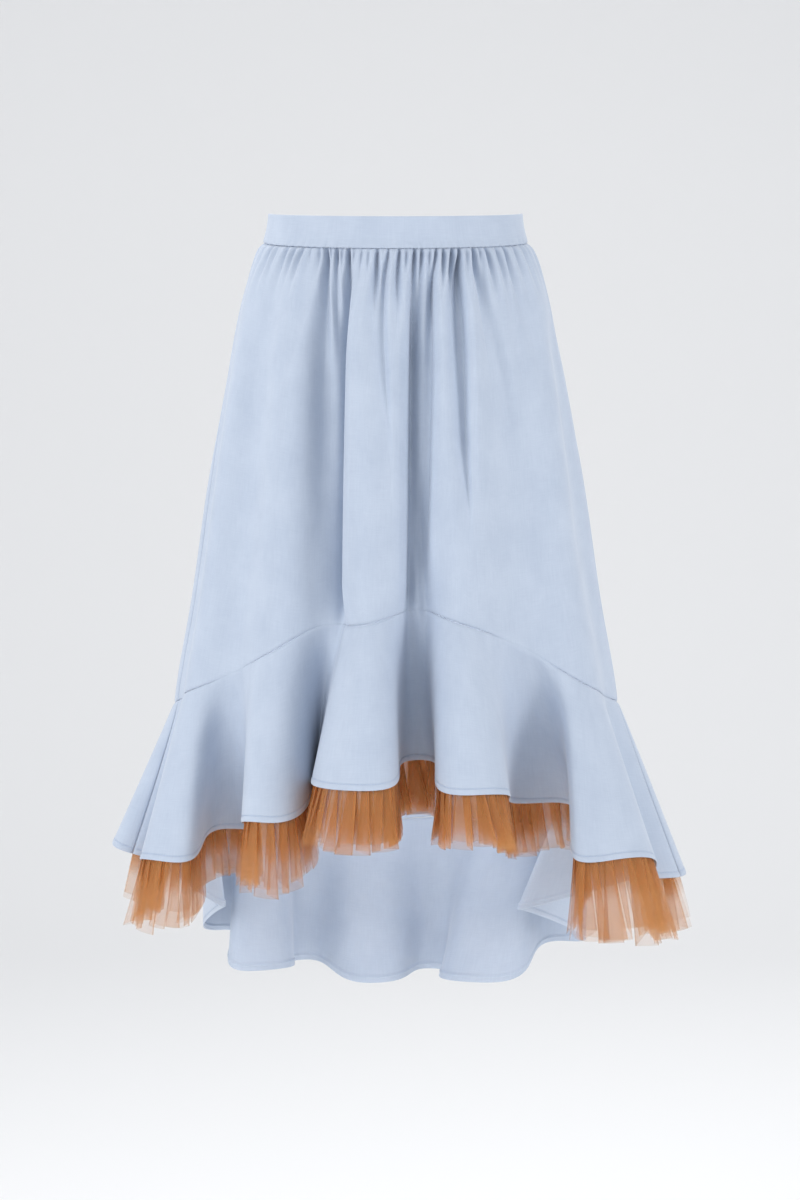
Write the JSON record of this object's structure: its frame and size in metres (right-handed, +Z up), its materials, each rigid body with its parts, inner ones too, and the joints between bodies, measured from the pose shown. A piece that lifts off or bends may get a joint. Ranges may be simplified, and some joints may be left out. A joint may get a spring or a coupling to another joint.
{
  "type": "high-low skirt",
  "caption": "Gathered midi skirt on a flat waistband, hollow as worn, with a fluted flounce that is longer at the back and a pleated tulle frill under the front hem.",
  "frame": {"origin": "middle of the waist, at mid-height of the waistband, where the wearer holds the skirt up", "axes": "+Z up, -Y to the front of the skirt, +X to the right in the picture (the wearer's left)"},
  "size_m": [0.5831, 0.4567, 0.8205],
  "materials": {
    "pale_blue_cloth": "smooth woven cloth with a soft peached face",
    "tan_tulle": "fine even net, translucent",
    "zip_metal": "satin paint"
  },
  "bodies": {
    "root": {"waistband_front": "pale_blue_cloth", "waistband_back_right": "pale_blue_cloth", "waistband_back_left": "pale_blue_cloth", "body_front": "pale_blue_cloth", "body_back_right": "pale_blue_cloth", "body_back_left": "pale_blue_cloth", "flounce_front": "pale_blue_cloth", "flounce_back": "pale_blue_cloth", "seam_allowance_back": "pale_blue_cloth", "tulle_frill_outer": "tan_tulle", "tulle_frill_inner": "tan_tulle", "zip_slider": "zip_metal"},
    "zip_pull": {"zip_pull_tab": "zip_metal"}
  },
  "joints": [
    {"name": "zip_pull_tab_hinge", "type": "hinge", "parent": "root", "child": "zip_pull", "pos_m": [0, 0.09839, 0.011], "axis": [1, 0, 0], "range_deg": [0, 120]}
  ]
}
